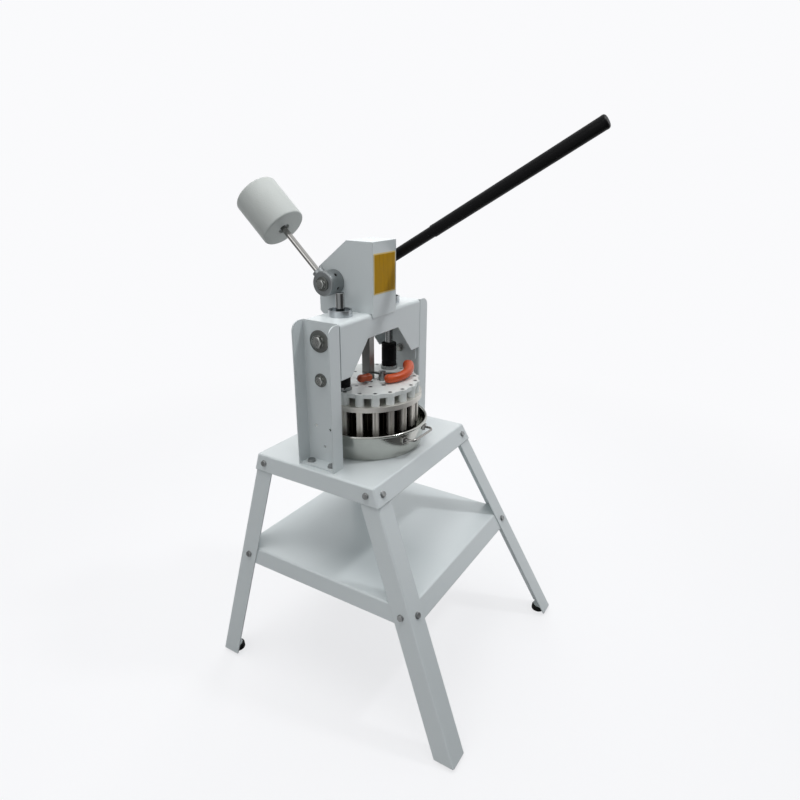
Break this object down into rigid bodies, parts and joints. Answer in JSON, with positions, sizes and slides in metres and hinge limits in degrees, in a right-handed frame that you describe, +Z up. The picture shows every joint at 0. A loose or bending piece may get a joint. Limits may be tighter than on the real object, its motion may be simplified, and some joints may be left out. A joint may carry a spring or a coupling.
{
  "type": "manual dough divider",
  "caption": "Floor-standing manual dough divider: splayed sheet stand, lever with counterweight and rack drive, knife head on guides, press blocks and round pan.",
  "frame": {"origin": "on the floor, under the middle of the whole machine's plan box", "axes": "+Z up, -Y towards the operator and the handle, +X to the handle's side"},
  "size_m": [0.6362, 0.8096, 1.3351],
  "materials": {
    "white_enamel": "glossy white enamel",
    "white_disc": "white coated",
    "white_plastic": "white moulded",
    "white_iron": "white painted",
    "black_rubber": "matte",
    "black_plastic": "matte",
    "black_paint": "satin black",
    "zinc_steel": "zinc plated",
    "bearing_bronze": "turned",
    "bush_steel": "turned",
    "dark_iron": "blackened, turned",
    "chrome_rod": "ground and plated",
    "ground_steel": "ground",
    "cast_aluminium": "turned casting",
    "yellow_plate": "printed plain",
    "orange_grip": "dipped",
    "stainless": "polished stainless"
  },
  "bodies": {
    "stand": {"table_top": "white_enamel", "lower_shelf": "white_enamel", "leg_front_left": "white_enamel", "leg_front_right": "white_enamel", "leg_rear_left": "white_enamel", "leg_rear_right": "white_enamel", "foot_brackets": "white_enamel", "rubber_feet": "black_rubber", "apron_bolts": "zinc_steel", "shelf_bolts": "zinc_steel", "upright_left": "white_enamel", "upright_right": "white_enamel", "upright_base_bolts": "zinc_steel", "bridge": "white_enamel", "bridge_end_plates": "white_enamel", "tie_washers": "zinc_steel", "tie_bolts": "zinc_steel", "housing_box": "white_enamel", "housing_cover": "white_enamel", "cover_screws": "zinc_steel", "label_plate": "yellow_plate", "pivot_bearings": "bearing_bronze", "guide_bushes": "bush_steel", "column_guide": "bearing_bronze"},
    "lever": {"lever_shaft": "chrome_rod", "sector_gear": "ground_steel", "gear_key": "zinc_steel", "weight_hub": "dark_iron", "handle_hub": "dark_iron", "hub_end_bolts": "zinc_steel", "hub_set_screws": "zinc_steel", "counterweight_rod": "chrome_rod", "rod_lock_nut": "zinc_steel", "counterweight": "white_iron", "handle_bar": "black_paint", "handle_sleeve": "black_paint", "handle_cap": "black_plastic"},
    "knife_head": {"rack_column": "ground_steel", "column_foot": "ground_steel", "knife_carrier": "cast_aluminium", "outer_knives": "ground_steel", "middle_knives": "ground_steel", "inner_knife_cross": "ground_steel", "ring_knives": "ground_steel"},
    "press_head": {"press_disc": "white_disc", "press_screws": "zinc_steel", "press_spacers": "white_plastic", "press_stems": "ground_steel", "press_blocks": "white_plastic", "guide_left": "chrome_rod", "guide_right": "chrome_rod", "stop_sleeves": "black_plastic", "lock_bases": "zinc_steel", "lock_pins": "zinc_steel"},
    "lock_right": {"lock_lever_right": "ground_steel", "lock_grip_right": "orange_grip"},
    "lock_left": {"lock_lever_left": "ground_steel", "lock_grip_left": "orange_grip"},
    "dough_pan": {"pan": "stainless", "pan_handles": "stainless"}
  },
  "joints": [
    {"name": "lever_pivot", "type": "hinge", "parent": "stand", "child": "lever", "pos_m": [0, 0.16527, 0.9855], "axis": [-1, 0, 0], "range_deg": [-44.07, 31.95]},
    {"name": "head_slide", "type": "slide", "parent": "stand", "child": "knife_head", "axis": [0, 0, 1], "range_m": [-0.0401, 0.0291]},
    {"name": "press_slide", "type": "slide", "parent": "knife_head", "child": "press_head", "axis": [0, 0, 1], "range_m": [0, 0.022]},
    {"name": "right_lock_hinge", "type": "hinge", "parent": "press_head", "child": "lock_right", "pos_m": [0.01, 0.06827, 0.7577], "axis": [0, 0, -1], "range_deg": [0, 30]},
    {"name": "left_lock_hinge", "type": "hinge", "parent": "press_head", "child": "lock_left", "pos_m": [-0.026, 0.09627, 0.7577], "axis": [0, 0, 1], "range_deg": [0, 30]},
    {"name": "pan_turn", "type": "hinge", "parent": "stand", "child": "dough_pan", "pos_m": [0, 0.10427, 0.577], "axis": [0, 0, 1], "range_deg": [-30, 30]}
  ],
  "couplings": [
    {"joint": "head_slide", "follows": "lever_pivot", "m_per_rad": 0.052}
  ]
}
